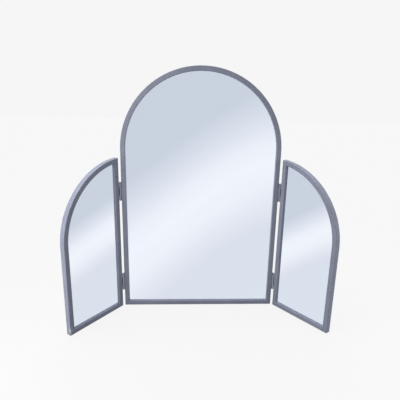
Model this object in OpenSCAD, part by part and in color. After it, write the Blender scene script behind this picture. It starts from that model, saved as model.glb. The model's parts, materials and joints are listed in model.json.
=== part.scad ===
// Tri-fold dressing table mirror: an arched centre panel that carries two
// quarter-arch wings on butt hinges. X runs across, Y runs back and Z runs up.
// The origin is the middle of the centre frame's underside, and every rail
// stands on Z = 0.

/* [Centre panel] */
// Width over the two stiles; half of it is the radius of the arch
centre_w = 444; // [400:1:480]
// Height at the crown of the arch
centre_h = 690; // [660:1:740]

/* [Wings] */
// Width from the hinged edge to the outer edge
wing_w = 186; // [165:1:198]
// Height at which the wing's arch crowns
wing_h = 448; // [430:1:480]
// Outer radius of the wing's arch
wing_r = 208; // [200:1:225]
// Angle that the wings stand folded forward from flat
wing_fold = 53.5; // [0:0.5:120]

/* [Frame section] */
// Width of the frame seen from the front
face_w = 13; // [11:0.5:15]
// Depth of the frame from front to back
frame_d = 16; // [15:0.5:20]
// Width of the hollow box behind the lip
box_w = 7; // [6:0.5:8]
// Depth of the lip, which is how far the glass sits behind the face
lip_d = 5.5; // [3.5:0.5:6.5]
// Wall of the hollow section
wall = 1.2; // [0.8:0.1:1.5]
// Rounding of the outer front edge
outer_round = 1.5; // [1.2:0.1:2.5]
// Rounding of the lip's front edge
lip_round = 1.5; // [0.8:0.1:2]
// Rounding of the rear edges
rear_round = 0.8; // [0.4:0.1:1]
// Radius of the weld left in the inner corners
weld_r = 3; // [2:0.5:5]

/* [Mirror and backing] */
// Thickness of the mirror glass
glass_t = 4; // [3:0.5:5]
// Thickness of the backing board
board_t = 5; // [3:0.5:6]
// Gap round the glass and the board inside the frame
edge_gap = 0.6; // [0.3:0.1:1.2]

/* [Retaining clips] */
// Width of a clip along the frame
clip_w = 12; // [10:0.5:16]
// Thickness of a clip's strip
clip_t = 1; // [0.8:0.1:1.5]
// Length of a clip's tongue over the board
clip_reach = 9; // [6:0.5:14]
// Gap between a clip's step and the frame
clip_gap = 0.3; // [0.1:0.1:0.6]
// Clips along each centre stile
stile_clips = 2; // [1:1:3]
// Clips round the centre arch
arch_clips = 3; // [1:1:5]
// Clips along the centre base rail
rail_clips = 2; // [1:1:3]
// Clips round a wing's arch
wing_arch_clips = 2; // [1:1:4]

/* [Hinges] */
// Length of a hinge over its knuckles
hinge_l = 52; // [46:1:60]
// Length of the wing's knuckle, between the frame's two
mid_knuckle_l = 26; // [20:1:30]
// Height of the lower hinges' middle
hinge_low = 78.5; // [60:0.5:110]
// Height of the upper hinges' middle
hinge_high = 353; // [300:0.5:370]
// Thickness of a hinge leaf
leaf_t = 1.2; // [1:0.1:1.6]
// Width of a leaf from the pin's axis to its rear edge
leaf_w = 14; // [12:0.5:15]
// Distance of the pin's axis in front of the frame's face
pin_ahead = 1; // [0.5:0.1:2]
// Radius of the pin
pin_r = 1.5; // [1.2:0.1:2]
// Running clearance round the pin
pin_slack = 0.05; // [0.02:0.01:0.1]
// Radius of the pin's heads
pin_head_r = 2.2; // [2.1:0.1:2.5]
// Height of the pin's heads
pin_head_h = 0.8; // [0.4:0.1:1.5]
// Gap between neighbouring knuckles
knuckle_gap = 0.2; // [0.1:0.05:0.4]
// Gap between a knuckle and the notch in the facing leaf
knuckle_clear = 0.3; // [0.2:0.05:1]
// Seam between a knuckle's rolled end and its own leaf
roll_seam = 0.2; // [0.1:0.05:0.4]

/* [Screws] */
// Radius of a screw's shank
screw_r = 1.25; // [1:0.05:1.5]
// Clearance round a screw's shank and countersink
screw_slack = 0.05; // [0.02:0.01:0.15]
// Length of a clip screw under its head
clip_screw_l = 6; // [5:0.5:8]
// Radius of a clip screw's head
clip_head_r = 2.5; // [2:0.1:3]
// Height of a clip screw's head
clip_head_h = 1.4; // [1:0.1:2]
// Length of a hinge screw with its head
hinge_screw_l = 5; // [3.5:0.5:5]
// Distance between a leaf's neighbouring screws
hinge_screw_pitch = 18; // [12:1:20]

/* [Hidden] */
$fn = 96;
eps = 0.5;
LEFT = -1;
RIGHT = 1;
LOWER = hinge_low;
UPPER = hinge_high;

// Centre panel: arch radius and the height where the stiles turn into the arch
centre_r = centre_w / 2;
spring_z = centre_h - centre_r;

// Wing: its arch's centre, measured from the hinged edge, and the corner where the
// arch meets the inner stile, on the outer edge and on the lip
arch_u = wing_w - wing_r;
arch_z = wing_h - wing_r;
function arch_height(u, inset) = arch_z + sqrt(pow(wing_r - inset, 2) - pow(u - arch_u, 2));
corner_out_z = arch_height(0, 0);
corner_in_z = arch_height(face_w, face_w);

// Depths behind the frame's face
glass_back = lip_d + glass_t;
board_back = glass_back + board_t;
clip_back = frame_d + clip_t;

// Hinge: a leaf lies on the frame's side and rolls straight into its knuckles, so the
// frames stand one knuckle's width apart. Its front edge is notched round the facing
// knuckle, and its screws sit midway between that notch and the rear edge.
bore_r = pin_r + pin_slack;
knuckle_r = bore_r + leaf_t;
pin_x = centre_w / 2 + knuckle_r;
pin_y = -frame_d / 2 - pin_ahead;
end_knuckle_l = (hinge_l - mid_knuckle_l) / 2 - knuckle_gap;
notch_y = sqrt(pow(knuckle_r + knuckle_clear, 2) - pow(bore_r, 2));
screw_y = (notch_y + leaf_w) / 2;
seam_angle = acos((bore_r - roll_seam) / knuckle_r);
screw_heights = [-hinge_screw_pitch, 0, hinge_screw_pitch];
sink_r = screw_r + leaf_t;

paint = [0.46, 0.47, 0.53];
silver = [0.82, 0.86, 0.91];
board_brown = [0.42, 0.33, 0.25];
zinc = [0.66, 0.67, 0.69];

// Placing: the centre panel, a wing folded about its pin, and a hinge on its pin.
// Panels are drawn with their face on Y = 0. A wing has its hinged edge on X = 0.
module in_centre() {
  translate([0, -frame_d / 2, 0]) children();
}

module on_side(side) {
  if (side == LEFT) mirror([1, 0, 0]) children();
  else children();
}

module in_wing(side) {
  on_side(side)
    translate([pin_x, pin_y, 0])
      rotate([0, 0, -wing_fold])
        translate([knuckle_r, pin_ahead, 0])
          children();
}

module on_frame_half(side, height) {
  on_side(side)
    translate([pin_x, pin_y, height])
      mirror([1, 0, 0])
        children();
}

module on_wing_half(side, height) {
  on_side(side)
    translate([pin_x, pin_y, height])
      rotate([0, 0, -wing_fold])
        children();
}

// A flat outline drawn in X and Z, with its thickness from depth y0 to y1
module plate(y0, y1) {
  translate([0, y1, 0])
    rotate([90, 0, 0])
      linear_extrude(y1 - y0)
        children();
}

// Frame section: X runs inward from the outer edge and Y runs back from the face
module corner_waste(r) {
  difference() {
    translate([-1, -1]) square(r + 1);
    translate([r, r]) circle(r);
  }
}

module rounded_rect(w, d, front_left, front_right, back_right, back_left) {
  difference() {
    square([w, d]);
    if (front_left > 0) corner_waste(front_left);
    if (front_right > 0) translate([w, 0]) mirror([1, 0]) corner_waste(front_right);
    if (back_right > 0) translate([w, d]) rotate(180) corner_waste(back_right);
    if (back_left > 0) translate([0, d]) mirror([0, 1]) corner_waste(back_left);
  }
}

module section() {
  inner_round = outer_round - wall;
  difference() {
    union() {
      rounded_rect(face_w, lip_d, outer_round, lip_round, 0, 0);
      rounded_rect(box_w, frame_d, outer_round, 0, rear_round, rear_round);
    }
    translate([wall, wall]) {
      rounded_rect(face_w - 2 * wall, lip_d - 2 * wall, inner_round, 0, 0, 0);
      rounded_rect(box_w - 2 * wall, frame_d - 2 * wall, inner_round, 0, 0, 0);
    }
  }
}

module upright(length) {
  linear_extrude(length) section();
}

module rail(length) {
  translate([length, 0, 0])
    rotate([0, -90, 0])
      linear_extrude(length)
        section();
}

module arc_bar(radius, sweep) {
  rotate([90, 0, 0])
    rotate_extrude(angle = sweep, $fn = 180)
      translate([radius, 0])
        rotate(180)
          section();
}

// Weld left in the inner corner where a rail meets an upright: it runs along +X
// and +Z from the corner, on the lip's flat wall
module corner_weld() {
  plate(lip_round, lip_d)
    difference() {
      square(weld_r);
      translate([weld_r, weld_r]) circle(weld_r);
    }
}

// Holes through the outer wall for the hinge screws, for a frame whose side is X = 0
module hinge_screw_holes() {
  for (height = [LOWER, UPPER], dz = screw_heights)
    translate([-eps, screw_y - pin_ahead, height + dz])
      rotate([0, 90, 0])
        cylinder(r = screw_r + screw_slack, h = wall + 2 * eps);
}

// Centre panel
module centre_outline(inset) {
  r = centre_r - inset;
  translate([-r, inset]) square([2 * r, spring_z - inset]);
  translate([0, spring_z]) circle(r, $fn = 180);
}

module centre_arch_bar() {
  color(paint)
    in_centre()
      difference() {
        intersection() {
          union() {
            translate([-centre_r, 0, 0]) upright(spring_z);
            mirror([1, 0, 0]) translate([-centre_r, 0, 0]) upright(spring_z);
            translate([0, 0, spring_z]) arc_bar(centre_r, 180);
          }
          plate(-eps, frame_d + eps)
            polygon([
              [-centre_r, 0],
              [face_w - centre_r, face_w],
              [centre_r - face_w, face_w],
              [centre_r, 0],
              [centre_r + eps, 0],
              [centre_r + eps, centre_h + eps],
              [-centre_r - eps, centre_h + eps],
              [-centre_r - eps, 0]
            ]);
        }
        for (side = [LEFT, RIGHT])
          on_side(side)
            translate([centre_r, 0, 0])
              mirror([1, 0, 0])
                hinge_screw_holes();
        for (place = centre_clip_places()) clip_at(place) clip_screw_hole();
      }
}

module centre_base_rail() {
  color(paint)
    in_centre() {
      difference() {
        intersection() {
          translate([-centre_r, 0, 0]) rail(centre_w);
          plate(-eps, frame_d + eps)
            polygon([
              [-centre_r, 0],
              [centre_r, 0],
              [centre_r - face_w, face_w],
              [face_w - centre_r, face_w]
            ]);
        }
        for (place = centre_clip_places()) clip_at(place) clip_screw_hole();
      }
      for (side = [LEFT, RIGHT])
        on_side(side)
          translate([centre_r - face_w, 0, face_w])
            mirror([1, 0, 0])
              corner_weld();
    }
}

module centre_mirror() {
  color(silver)
    in_centre()
      plate(lip_d, glass_back)
        centre_outline(box_w + edge_gap);
}

module centre_backing_board() {
  color(board_brown)
    in_centre()
      plate(glass_back, board_back)
        centre_outline(box_w + edge_gap);
}

// Retaining clips: each place is [x, z, angle], on the frame's outer edge, and the
// angle turns +X to point into the panel
function even(count, i, length) = length * (i + 0.5) / count;

function centre_clip_places() = concat(
  [for (i = [0 : stile_clips - 1]) [-centre_r, even(stile_clips, i, spring_z), 0]],
  [for (i = [0 : stile_clips - 1]) [centre_r, even(stile_clips, i, spring_z), 180]],
  [for (i = [0 : arch_clips - 1])
    let (a = even(arch_clips, i, 180))
      [centre_r * cos(a), spring_z + centre_r * sin(a), a + 180]],
  [for (i = [0 : rail_clips - 1]) [even(rail_clips, i, centre_w) - centre_r, 0, 90]]
);

function wing_clip_places() = concat(
  [for (i = [0 : 1]) [0, even(2, i, corner_in_z), 0]],
  [[wing_w, arch_z / 2, 180], [wing_w / 2, 0, 90]],
  [for (i = [0 : wing_arch_clips - 1])
    let (a = even(wing_arch_clips, i, acos(-arch_u / wing_r)))
      [arch_u + wing_r * cos(a), arch_z + wing_r * sin(a), a + 180]]
);

module clip_at(place) {
  translate([place[0], 0, place[1]])
    rotate([0, -place[2], 0])
      children();
}

module clip_screw_hole() {
  translate([box_w / 2, frame_d - wall - eps, 0])
    rotate([-90, 0, 0])
      cylinder(r = screw_r + screw_slack, h = wall + 2 * eps);
}

module clip() {
  step = box_w + clip_gap;
  tip = step + clip_t + clip_reach;
  difference() {
    translate([0, 0, -clip_w / 2])
      linear_extrude(clip_w)
        polygon([
          [rear_round, frame_d],
          [step, frame_d],
          [step, board_back],
          [tip, board_back],
          [tip, board_back + clip_t],
          [step + clip_t, board_back + clip_t],
          [step + clip_t, clip_back],
          [rear_round, clip_back]
        ]);
    translate([box_w / 2, frame_d - eps, 0])
      rotate([-90, 0, 0])
        cylinder(r = screw_r + screw_slack, h = clip_t + 2 * eps);
  }
}

module clip_screw() {
  translate([box_w / 2, clip_back, 0])
    rotate([-90, 0, 0])
      difference() {
        union() {
          translate([0, 0, -clip_screw_l]) cylinder(r = screw_r, h = clip_screw_l);
          cylinder(r = clip_head_r, h = clip_head_h / 2);
          translate([0, 0, clip_head_h / 2])
            cylinder(r1 = clip_head_r, r2 = clip_head_r * 0.6, h = clip_head_h / 2);
        }
        cross_recess(clip_head_r, clip_head_h);
      }
}

module cross_recess(head_r, head_h) {
  slot = head_r / 4;
  for (turn = [0, 90])
    rotate([0, 0, turn])
      translate([-head_r / 2, -slot / 2, head_h / 2])
        cube([head_r, slot, head_h]);
}

module centre_retaining_clips() {
  color(zinc)
    in_centre()
      for (place = centre_clip_places()) clip_at(place) clip();
}

module centre_clip_screws() {
  color(zinc)
    in_centre()
      for (place = centre_clip_places()) clip_at(place) clip_screw();
}

// Wings
module wing_outline(inset) {
  intersection() {
    union() {
      translate([arch_u, arch_z]) circle(wing_r - inset, $fn = 180);
      translate([inset, inset]) square([wing_w - 2 * inset, arch_z - inset]);
    }
    translate([inset, inset]) square([wing_w - 2 * inset, wing_h]);
  }
}

module wing_arch_bar(side) {
  color(paint)
    in_wing(side)
      difference() {
        intersection() {
          union() {
            translate([wing_w, 0, 0]) mirror([1, 0, 0]) upright(arch_z);
            translate([arch_u, 0, arch_z]) arc_bar(wing_r, 90);
          }
          plate(-eps, frame_d + eps)
            polygon([
              [0, corner_out_z],
              [face_w, corner_in_z],
              [wing_w - face_w, face_w],
              [wing_w, 0],
              [wing_w + eps, 0],
              [wing_w + eps, wing_h + eps],
              [0, wing_h + eps]
            ]);
        }
        for (place = wing_clip_places()) clip_at(place) clip_screw_hole();
      }
}

module wing_inner_stile(side) {
  color(paint)
    in_wing(side)
      difference() {
        intersection() {
          upright(corner_out_z);
          plate(-eps, frame_d + eps)
            polygon([
              [-eps, -eps],
              [0, 0],
              [face_w, face_w],
              [face_w, corner_in_z],
              [0, corner_out_z],
              [-eps, corner_out_z]
            ]);
        }
        hinge_screw_holes();
        for (place = wing_clip_places()) clip_at(place) clip_screw_hole();
      }
}

module wing_base_rail(side) {
  color(paint)
    in_wing(side) {
      difference() {
        intersection() {
          rail(wing_w);
          plate(-eps, frame_d + eps)
            polygon([[0, 0], [wing_w, 0], [wing_w - face_w, face_w], [face_w, face_w]]);
        }
        for (place = wing_clip_places()) clip_at(place) clip_screw_hole();
      }
      translate([face_w, 0, face_w]) corner_weld();
      translate([wing_w - face_w, 0, face_w]) mirror([1, 0, 0]) corner_weld();
    }
}

module wing_mirror(side) {
  color(silver)
    in_wing(side)
      plate(lip_d, glass_back)
        wing_outline(box_w + edge_gap);
}

module wing_backing_board(side) {
  color(board_brown)
    in_wing(side)
      plate(glass_back, board_back)
        wing_outline(box_w + edge_gap);
}

module wing_retaining_clips(side) {
  color(zinc)
    in_wing(side)
      for (place = wing_clip_places()) clip_at(place) clip();
}

module wing_clip_screws(side) {
  color(zinc)
    in_wing(side)
      for (place = wing_clip_places()) clip_at(place) clip_screw();
}

// Hinges: drawn about the pin's axis, with the leaf's own frame on the +X side. The
// strip lies on the frame's side and rolls forward round the pin, back to itself.
module hinge_leaf(knuckles) {
  color(paint)
    difference() {
      union() {
        translate([bore_r, notch_y, -hinge_l / 2])
          cube([leaf_t, leaf_w - notch_y, hinge_l]);
        for (k = knuckles)
          translate([0, 0, k[0]])
            linear_extrude(k[1]) {
              knuckle_roll();
              translate([bore_r, 0]) square([leaf_t, notch_y]);
            }
      }
      for (dz = screw_heights)
        translate([knuckle_r, screw_y, dz])
          rotate([0, -90, 0])
            countersink(screw_slack);
    }
}

// The rolled strip in section, open at the seam where it comes back to the leaf
module knuckle_roll() {
  far = 2 * knuckle_r;
  difference() {
    circle(knuckle_r);
    circle(bore_r);
    polygon([[0, 0], [far, 0], far * [cos(seam_angle), sin(seam_angle)]]);
  }
}

// The flared head of a hinge screw and its hole, from the leaf's seat upwards
module countersink(slack) {
  cylinder(r1 = screw_r + slack, r2 = sink_r + slack, h = leaf_t);
}

end_knuckles = [
  [-hinge_l / 2, end_knuckle_l],
  [hinge_l / 2 - end_knuckle_l, end_knuckle_l]
];
mid_knuckle = [[-mid_knuckle_l / 2, mid_knuckle_l]];

module frame_leaf(side, height) {
  on_frame_half(side, height) hinge_leaf(end_knuckles);
}

module wing_leaf(side, height) {
  on_wing_half(side, height) hinge_leaf(mid_knuckle);
}

module hinge_pin(side, height) {
  color(zinc)
    on_frame_half(side, height) {
      translate([0, 0, -hinge_l / 2]) cylinder(r = pin_r, h = hinge_l);
      translate([0, 0, hinge_l / 2]) cylinder(r1 = pin_head_r, r2 = pin_r, h = pin_head_h);
      translate([0, 0, -hinge_l / 2 - pin_head_h])
        cylinder(r1 = pin_r, r2 = pin_head_r, h = pin_head_h);
    }
}

module hinge_screw() {
  rotate([0, -90, 0])
    difference() {
      union() {
        countersink(0);
        translate([0, 0, leaf_t - hinge_screw_l]) cylinder(r = screw_r, h = hinge_screw_l - leaf_t);
      }
      cross_recess(screw_r * 2, leaf_t);
    }
}

module leaf_screws() {
  for (dz = screw_heights)
    translate([knuckle_r, screw_y, dz])
      hinge_screw();
}

module centre_hinge_screws() {
  color(zinc)
    for (side = [LEFT, RIGHT], height = [LOWER, UPPER])
      on_frame_half(side, height) leaf_screws();
}

module wing_hinge_screws(side) {
  color(zinc)
    for (height = [LOWER, UPPER])
      on_wing_half(side, height) leaf_screws();
}

centre_arch_bar();
centre_base_rail();
centre_mirror();
centre_backing_board();
centre_retaining_clips();
centre_clip_screws();
centre_hinge_screws();
frame_leaf(LEFT, UPPER);  // left_upper_hinge_frame_leaf
wing_leaf(LEFT, UPPER);  // left_upper_hinge_wing_leaf
hinge_pin(LEFT, UPPER);  // left_upper_hinge_pin
frame_leaf(LEFT, LOWER);  // left_lower_hinge_frame_leaf
wing_leaf(LEFT, LOWER);  // left_lower_hinge_wing_leaf
hinge_pin(LEFT, LOWER);  // left_lower_hinge_pin
frame_leaf(RIGHT, UPPER);  // right_upper_hinge_frame_leaf
wing_leaf(RIGHT, UPPER);  // right_upper_hinge_wing_leaf
hinge_pin(RIGHT, UPPER);  // right_upper_hinge_pin
frame_leaf(RIGHT, LOWER);  // right_lower_hinge_frame_leaf
wing_leaf(RIGHT, LOWER);  // right_lower_hinge_wing_leaf
hinge_pin(RIGHT, LOWER);  // right_lower_hinge_pin
wing_arch_bar(LEFT);  // left_wing_arch_bar
wing_inner_stile(LEFT);  // left_wing_inner_stile
wing_base_rail(LEFT);  // left_wing_base_rail
wing_mirror(LEFT);  // left_wing_mirror
wing_backing_board(LEFT);  // left_wing_backing_board
wing_retaining_clips(LEFT);  // left_wing_retaining_clips
wing_clip_screws(LEFT);  // left_wing_clip_screws
wing_hinge_screws(LEFT);  // left_wing_hinge_screws
wing_arch_bar(RIGHT);  // right_wing_arch_bar
wing_inner_stile(RIGHT);  // right_wing_inner_stile
wing_base_rail(RIGHT);  // right_wing_base_rail
wing_mirror(RIGHT);  // right_wing_mirror
wing_backing_board(RIGHT);  // right_wing_backing_board
wing_retaining_clips(RIGHT);  // right_wing_retaining_clips
wing_clip_screws(RIGHT);  // right_wing_clip_screws
wing_hinge_screws(RIGHT);  // right_wing_hinge_screws
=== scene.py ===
# %% [markdown]
# # A tri-fold dressing table mirror
#
# An arched mirror stands between two quarter-arch wings, all three framed in slim
# painted steel and joined by small butt hinges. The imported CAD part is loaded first,
# as a frame that never moves. Each piece is then either dressed with a material, or
# modelled again with more detail in the very place of its CAD solid.

# %% Load the frame
import json
import math

import bmesh
import bpy
from mathutils import Matrix, Vector


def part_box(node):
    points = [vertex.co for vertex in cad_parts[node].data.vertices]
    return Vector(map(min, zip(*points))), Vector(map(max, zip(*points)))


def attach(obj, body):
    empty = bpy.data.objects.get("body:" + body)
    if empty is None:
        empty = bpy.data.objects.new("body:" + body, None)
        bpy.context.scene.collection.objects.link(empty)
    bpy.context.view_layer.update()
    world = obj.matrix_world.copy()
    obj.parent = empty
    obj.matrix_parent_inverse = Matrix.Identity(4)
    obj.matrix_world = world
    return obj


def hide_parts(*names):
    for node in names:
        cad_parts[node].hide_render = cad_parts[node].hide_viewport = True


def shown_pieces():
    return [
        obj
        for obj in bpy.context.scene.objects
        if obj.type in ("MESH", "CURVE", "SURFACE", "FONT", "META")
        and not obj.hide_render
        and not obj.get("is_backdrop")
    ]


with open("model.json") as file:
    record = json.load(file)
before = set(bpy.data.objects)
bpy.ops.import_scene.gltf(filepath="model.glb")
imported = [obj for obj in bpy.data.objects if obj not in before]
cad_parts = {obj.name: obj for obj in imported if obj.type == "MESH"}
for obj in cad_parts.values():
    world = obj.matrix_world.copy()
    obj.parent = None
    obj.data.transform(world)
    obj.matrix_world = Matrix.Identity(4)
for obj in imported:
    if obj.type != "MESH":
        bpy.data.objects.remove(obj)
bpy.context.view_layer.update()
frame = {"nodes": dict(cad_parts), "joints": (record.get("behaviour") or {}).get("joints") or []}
nodes = frame["nodes"]

# %% [markdown]
# ## The camera
#
# A camera is best fixed before anything is modelled, because it decides which edges
# will show. It stands a metre away, a little left of the middle and above the crown
# of the wings, and looks down. Three turns in a row aim it: up from looking at the
# floor, round to the side, and a slight roll about its own axis.

# %% The camera
CAMERA_PLACE = Vector((-0.0478, -0.9735, 0.5692))
CAMERA_YAW, CAMERA_PITCH, CAMERA_ROLL = (math.radians(a) for a in (-2.745, -13.91, 1.128))
CAMERA_LENS = 31.55  # mm, on a sensor 36 mm wide

camera_data = bpy.data.cameras.new("camera")
camera_data.lens = CAMERA_LENS
camera_data.clip_start = 0.01
camera = bpy.data.objects.new("camera", camera_data)
bpy.context.collection.objects.link(camera)
camera.matrix_world = (
    Matrix.Translation(CAMERA_PLACE)
    @ Matrix.Rotation(CAMERA_YAW, 4, "Z")
    @ Matrix.Rotation(math.radians(90) + CAMERA_PITCH, 4, "X")
    @ Matrix.Rotation(CAMERA_ROLL, 4, "Z")
)
bpy.context.scene.camera = camera
bpy.context.scene.view_settings.view_transform = "Standard"
print(f"camera {CAMERA_PLACE.z:.2f} m up, {-CAMERA_PLACE.y:.2f} m in front, lens {CAMERA_LENS} mm")

# %% [markdown]
# ## Measures
#
# Most sizes can be read off the loaded part: the arch's radius is half the width of
# the centre bar, and the joints say where the hinge pins stand. The rest are the
# sheet-metal sizes of the frame's section, which no box shows.

# %% Measures of the frame, in metres
frame_low, frame_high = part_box("centre_arch_bar")
CENTRE_R = frame_high.x
SPRING_Z = frame_high.z - CENTRE_R
FACE_Y = frame_low.y
FRAME_D = frame_high.y - frame_low.y
LIP_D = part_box("centre_mirror")[0].y - FACE_Y
FACE_W = 0.013
BOX_W = 0.007
OUTER_ROUND, LIP_ROUND, REAR_ROUND = 0.0015, 0.0015, 0.0008

WING_W, WING_H, WING_R = 0.186, 0.448, 0.208
ARCH_U, ARCH_Z = WING_W - WING_R, WING_H - WING_R
joint = next(j for j in frame["joints"] if j["name"] == "right_wing_hinge")
PIN_X, PIN_Y = joint["pos_m"][0], joint["pos_m"][1]
WING_FOLD = math.radians(180 - joint["range_deg"][1])
SIDES = {"left": -1, "right": 1}
print(f"arch {CENTRE_R:.3f} m, wings folded {math.degrees(WING_FOLD):.1f} degrees")

# %% [markdown]
# ## Working in edit mode
#
# Everything below is modelled as by hand: add a primitive, go into edit mode, select
# by place, extrude, bevel, spin or cut. With no window there is nothing to click on,
# so one helper selects what lies where a test says. Operators act on all that is
# selected, so the other helpers begin by deselecting.

# %% Helpers that start, select and end
TINY = 1e-5
WELDED = 1e-7


def begin(name, add, **where):
    """Adds a primitive with nothing else selected, names it and opens it for editing."""
    bpy.ops.object.select_all(action="DESELECT")
    add(**where)
    piece = bpy.context.object
    piece.name = piece.data.name = name
    bpy.ops.object.mode_set(mode="EDIT")
    return piece


def pick(piece, kind, test):
    """Selects the vertices, edges or faces whose middle passes the test."""
    bpy.ops.mesh.select_mode(type=kind)
    bpy.ops.mesh.select_all(action="DESELECT")
    shape = bmesh.from_edit_mesh(piece.data)
    parts = {"VERT": shape.verts, "EDGE": shape.edges, "FACE": shape.faces}[kind]
    for part in parts:
        corners = [part] if kind == "VERT" else part.verts
        middle = sum((v.co for v in corners), Vector()) / len(corners)
        if test(middle):
            part.select_set(True)
    shape.select_flush_mode()
    bmesh.update_edit_mesh(piece.data)


def extrude(x, y, z):
    bpy.ops.mesh.extrude_region_move(TRANSFORM_OT_translate={"value": (x, y, z)})


def near(a, b):
    return abs(a - b) < TINY


def rectangle(name, x0, x1, y0, y1):
    """A flat rectangle on the floor plane, open in edit mode with all of it selected."""
    piece = begin(name, bpy.ops.mesh.primitive_plane_add, size=1)
    bpy.ops.transform.resize(value=(x1 - x0, y1 - y0, 1))
    bpy.ops.transform.translate(value=((x0 + x1) / 2, (y0 + y1) / 2, 0))
    return piece


def close(piece):
    """Turns every face outwards and goes back to object mode."""
    bpy.ops.mesh.select_all(action="SELECT")
    bpy.ops.mesh.remove_doubles(threshold=WELDED)
    bpy.ops.mesh.normals_make_consistent(inside=False)
    bpy.ops.object.mode_set(mode="OBJECT")
    return piece


# %% [markdown]
# Modifiers finish a piece once its form is there. Each is applied at once, so that the
# mesh that is kept is the mesh that shows. Smooth shading by angle keeps flat faces
# flat and rounds only the fillets, and weighted normals stop the narrow fillets from
# bending the shading of the broad faces beside them.

# %% Helpers that finish a mesh
SHARP = math.radians(35)


def apply_modifier(piece, kind, **settings):
    bpy.ops.object.select_all(action="DESELECT")
    piece.select_set(True)
    bpy.context.view_layer.objects.active = piece
    modifier = piece.modifiers.new(kind.lower(), kind)
    for key, value in settings.items():
        setattr(modifier, key, value)
    bpy.ops.object.modifier_apply(modifier=modifier.name)


def soften(piece, width, segments=2):
    apply_modifier(
        piece, "BEVEL", width=width, segments=segments, limit_method="ANGLE", angle_limit=SHARP
    )


def shade(piece):
    bpy.ops.object.select_all(action="DESELECT")
    piece.select_set(True)
    bpy.context.view_layer.objects.active = piece
    bpy.ops.object.shade_smooth_by_angle(angle=SHARP)
    apply_modifier(piece, "WEIGHTED_NORMAL", keep_sharp=True)


def cut_away(piece, tool):
    """Cuts the tool's shape out of the piece and deletes the tool."""
    apply_modifier(piece, "BOOLEAN", operation="DIFFERENCE", object=tool, solver="EXACT")
    bpy.data.objects.remove(tool)


# %% [markdown]
# A wing is easiest to model lying square to the axes, with its hinged edge on X = 0 and
# its face on Y = 0, and to swing into place afterwards. The swing is a matrix: out from
# the pin by half the hinge, round by the fold, and over to the left by a mirror image
# for the other wing. A mirror image turns a mesh inside out, so its faces are flipped.

# %% Helpers that put a piece in its place
LEAF_T = 0.0012
PIN_R = 0.0015
PIN_SLACK = 0.00005
BORE_R = PIN_R + PIN_SLACK
KNUCKLE_R = BORE_R + LEAF_T
PIN_AHEAD = FACE_Y - PIN_Y


def side_mirror(side):
    return Matrix.Scale(SIDES[side], 4, (1, 0, 0))


def centre_place():
    return Matrix.Translation((0, FACE_Y, 0))


def frame_hinge_place(side, height):
    flip = Matrix.Scale(-1, 4, (1, 0, 0))
    return side_mirror(side) @ Matrix.Translation((PIN_X, PIN_Y, height)) @ flip


def wing_hinge_place(side, height):
    swing = Matrix.Rotation(-WING_FOLD, 4, "Z")
    return side_mirror(side) @ Matrix.Translation((PIN_X, PIN_Y, height)) @ swing


def wing_place(side):
    return wing_hinge_place(side, 0) @ Matrix.Translation((KNUCKLE_R, PIN_AHEAD, 0))


def put(piece, matrix):
    """Moves the mesh itself, so that the object stays at the origin."""
    piece.data.transform(matrix)
    if matrix.determinant() < 0:
        piece.data.flip_normals()
    piece.data.update()
    return piece


def copies(pattern, name, places):
    """One piece made of a copy of the pattern at each place, each with its own mesh."""
    made = []
    for place in places:
        copy = pattern.copy()
        copy.data = pattern.data.copy()
        bpy.context.collection.objects.link(copy)
        made.append(put(copy, place))
    bpy.ops.object.select_all(action="DESELECT")
    for copy in made:
        copy.select_set(True)
    bpy.context.view_layer.objects.active = made[0]
    if len(made) > 1:
        bpy.ops.object.join()
    made[0].name = made[0].data.name = name
    return made[0]


# %% [markdown]
# ## Satin grey paint
#
# The frames are steel with a coat of satin paint, a grey with a little violet in it.
# Paint is never one flat colour: it is a shade lighter or darker where it lies thicker,
# its skin has the fine ripple called orange peel, and its gloss varies with handling.
# Slow noise moves the colour and the roughness, and fine noise through a Bump node
# makes the ripple. On the lower outer corner of the left wing the paint is chipped
# down to pale primer, so a mask keeps the chips near that one corner.

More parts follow.
